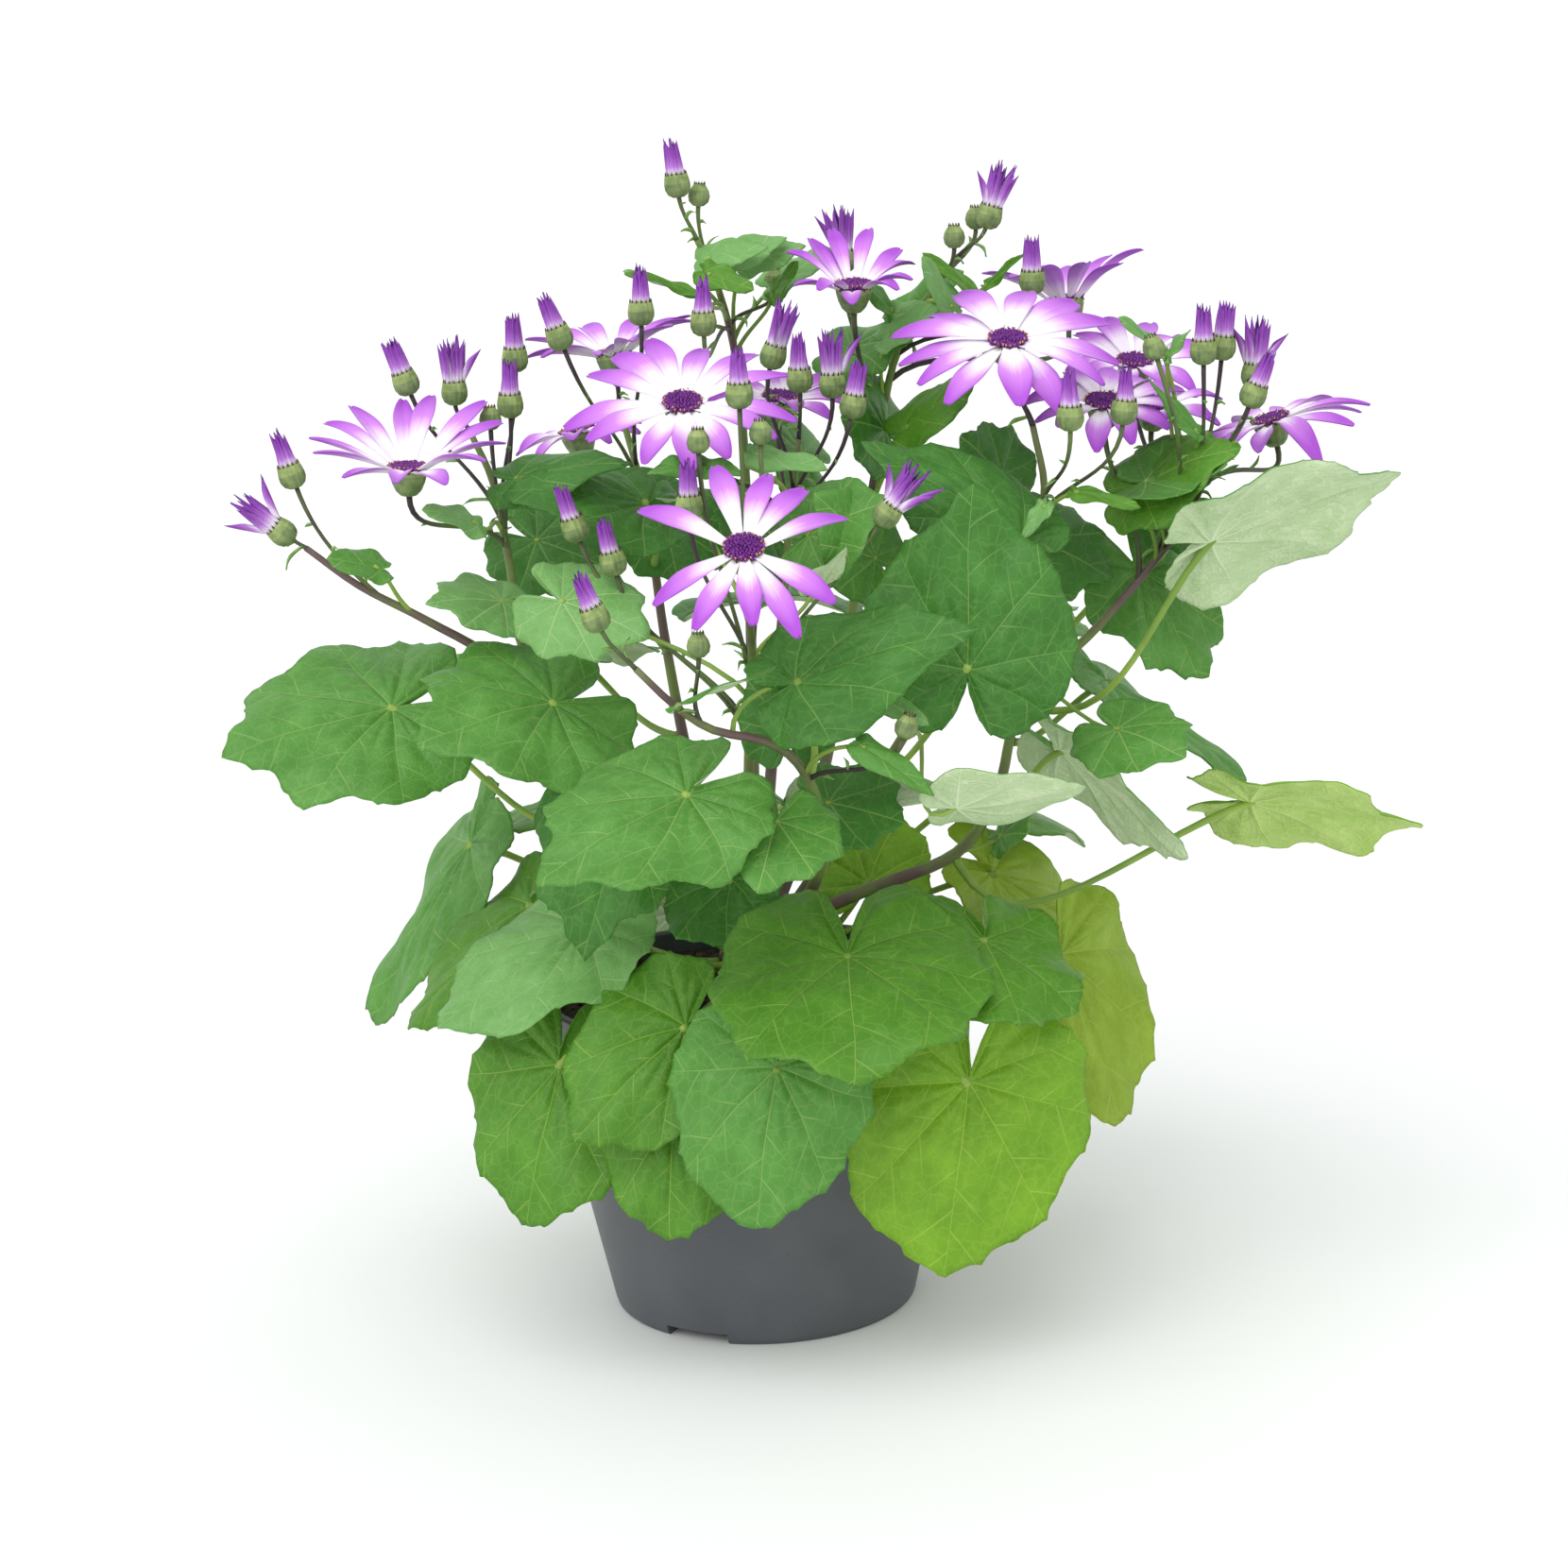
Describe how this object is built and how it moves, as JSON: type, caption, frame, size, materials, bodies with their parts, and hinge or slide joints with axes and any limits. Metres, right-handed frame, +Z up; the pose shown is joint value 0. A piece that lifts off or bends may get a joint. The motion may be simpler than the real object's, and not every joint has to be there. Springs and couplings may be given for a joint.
{
  "type": "potted plant",
  "caption": "Florist cineraria in a tapered nursery pot: a mound of lobed green leaves under branching stems of purple and white daisy flowers and buds.",
  "frame": {"origin": "centre of the pot's flat underside, at floor level", "axes": "+Z up along the pot's axis, -Y towards the front of the plant, +X to the viewer's right"},
  "size_m": [0.4471, 0.3307, 0.4529],
  "materials": {
    "pot": "matte",
    "soil": "matte",
    "root_stub": "matte",
    "stem": "satin",
    "leaf": "satin",
    "flower_head": "matte"
  },
  "bodies": {
    "root": {"nursery_pot": "pot", "potting_soil": "soil", "root_crown": "root_stub", "stem_far_left": "stem", "stem_left": "stem", "stem_back_left": "stem", "stem_front": "stem", "stem_front_left": "stem", "stem_back": "stem", "stem_back_right": "stem", "stem_middle": "stem", "stem_right_middle": "stem", "stem_right": "stem", "flower_front": "flower_head", "flower_centre": "flower_head", "flower_left": "flower_head", "flower_right": "flower_head", "flower_back_left": "flower_head", "flower_left_middle": "flower_head", "flower_centre_back": "flower_head", "flower_back": "flower_head", "flower_back_right": "flower_head", "flower_right_back": "flower_head", "flower_right_low": "flower_head", "flower_right_middle": "flower_head", "flower_far_right": "flower_head", "basal_leaf_front": "leaf", "basal_leaf_front_right": "leaf", "basal_leaf_right_low": "leaf", "basal_leaf_front_low": "leaf", "basal_leaf_front_left": "leaf", "basal_leaf_left_under": "leaf", "basal_leaf_left_low": "leaf", "basal_leaf_left_light": "leaf", "basal_leaf_left_dark": "leaf", "basal_leaf_far_left": "leaf", "basal_leaf_inner": "leaf", "basal_leaf_right_dull": "leaf", "basal_leaf_right_high": "leaf", "basal_leaf_inner_back": "leaf", "basal_leaf_back_right": "leaf", "basal_leaf_back": "leaf", "basal_leaf_back_left": "leaf", "basal_leaf_back_low": "leaf", "stem_leaf_far_left": "leaf", "stem_leaf_left": "leaf", "stem_leaf_left_hanging": "leaf", "stem_leaf_front_left": "leaf", "stem_leaf_centre": "leaf", "stem_leaf_big": "leaf", "stem_leaf_right_edge": "leaf", "stem_leaf_right_pale": "leaf", "stem_leaf_far_right": "leaf", "stem_leaf_right_top": "leaf", "stem_leaf_right_dark": "leaf", "stem_leaf_shade": "leaf", "stem_leaf_under_flower": "leaf", "stem_leaf_back_left": "leaf", "stem_leaf_back": "leaf", "stem_leaf_back_right": "leaf"}
  },
  "joints": []
}
